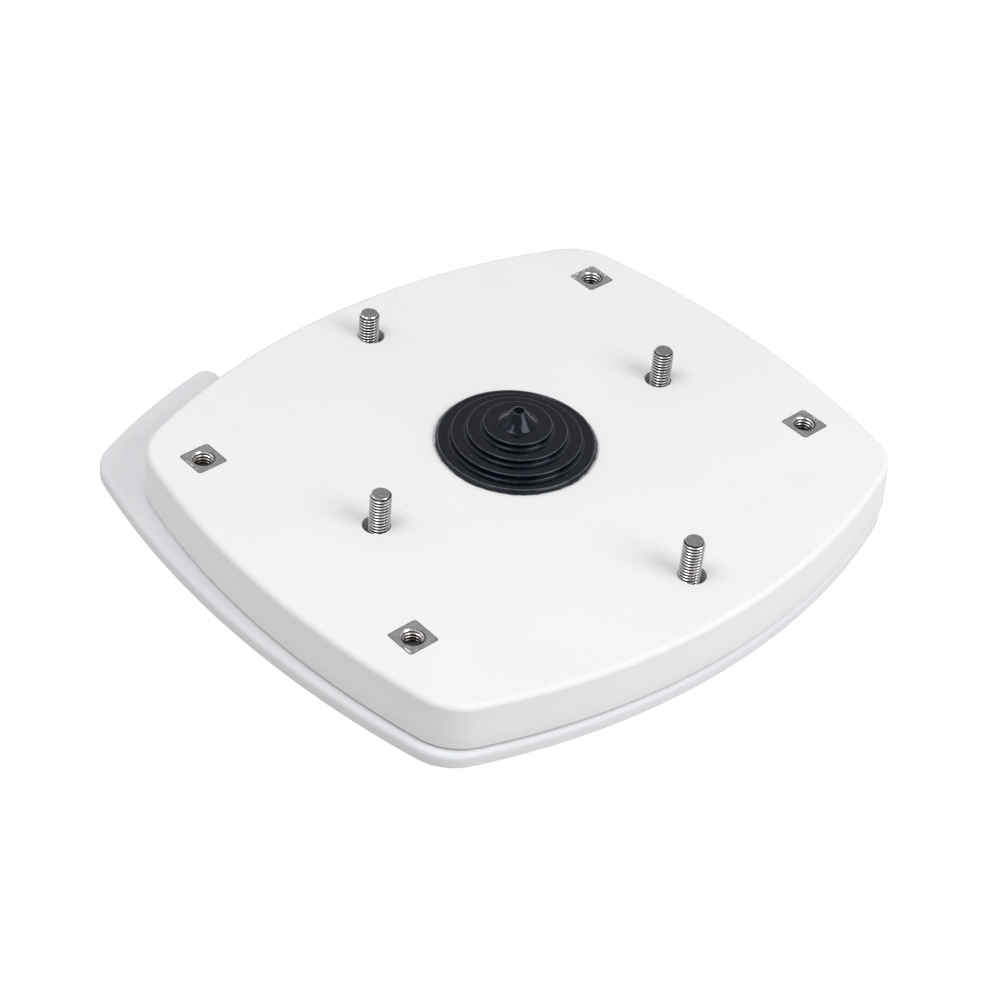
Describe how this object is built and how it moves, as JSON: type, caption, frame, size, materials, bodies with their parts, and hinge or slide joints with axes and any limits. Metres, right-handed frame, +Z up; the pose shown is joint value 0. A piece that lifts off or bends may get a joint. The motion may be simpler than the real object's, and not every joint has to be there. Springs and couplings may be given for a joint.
{
  "type": "antenna mounting base",
  "caption": "Barrel-sided mounting base: a moulded adapter body with captive square nuts and a stepped cable grommet, over a thin notched plate with threaded studs.",
  "frame": {"origin": "centre of the base plate's outline, on the face it rests on", "axes": "+Z up, out of the adapter body's top face; +X from the plate's cable notch towards its plain side; +Y along the object's longest side"},
  "size_m": [0.2904, 0.3006, 0.0496],
  "materials": {
    "white_plastic": "satin moulded, light wear",
    "grey_paint": "light grey powder coat",
    "stainless_steel": "bright machined",
    "nut_steel": "satin, slightly scuffed",
    "spring_steel": "dull",
    "black_rubber": "satin moulded",
    "seal_rubber": "matt"
  },
  "bodies": {
    "base": {"base_plate": "grey_paint", "stud_notch": "stainless_steel", "washer_notch": "stainless_steel", "spring_washer_notch": "spring_steel", "locknut_notch": "stainless_steel", "stud_left": "stainless_steel", "washer_left": "stainless_steel", "spring_washer_left": "spring_steel", "locknut_left": "stainless_steel", "stud_plain": "stainless_steel", "washer_plain": "stainless_steel", "spring_washer_plain": "spring_steel", "locknut_plain": "stainless_steel", "stud_right": "stainless_steel", "washer_right": "stainless_steel", "spring_washer_right": "spring_steel", "locknut_right": "stainless_steel"},
    "adapter": {"adapter_body": "white_plastic", "foot_seal": "seal_rubber", "cable_grommet": "black_rubber", "square_nut_notch_left": "nut_steel", "square_nut_notch_right": "nut_steel", "square_nut_plain_left": "nut_steel", "square_nut_plain_right": "nut_steel"}
  },
  "joints": [
    {"name": "adapter_lift", "type": "slide", "parent": "base", "child": "adapter", "axis": [0, 0, 1], "range_m": [0, 0.05]}
  ]
}
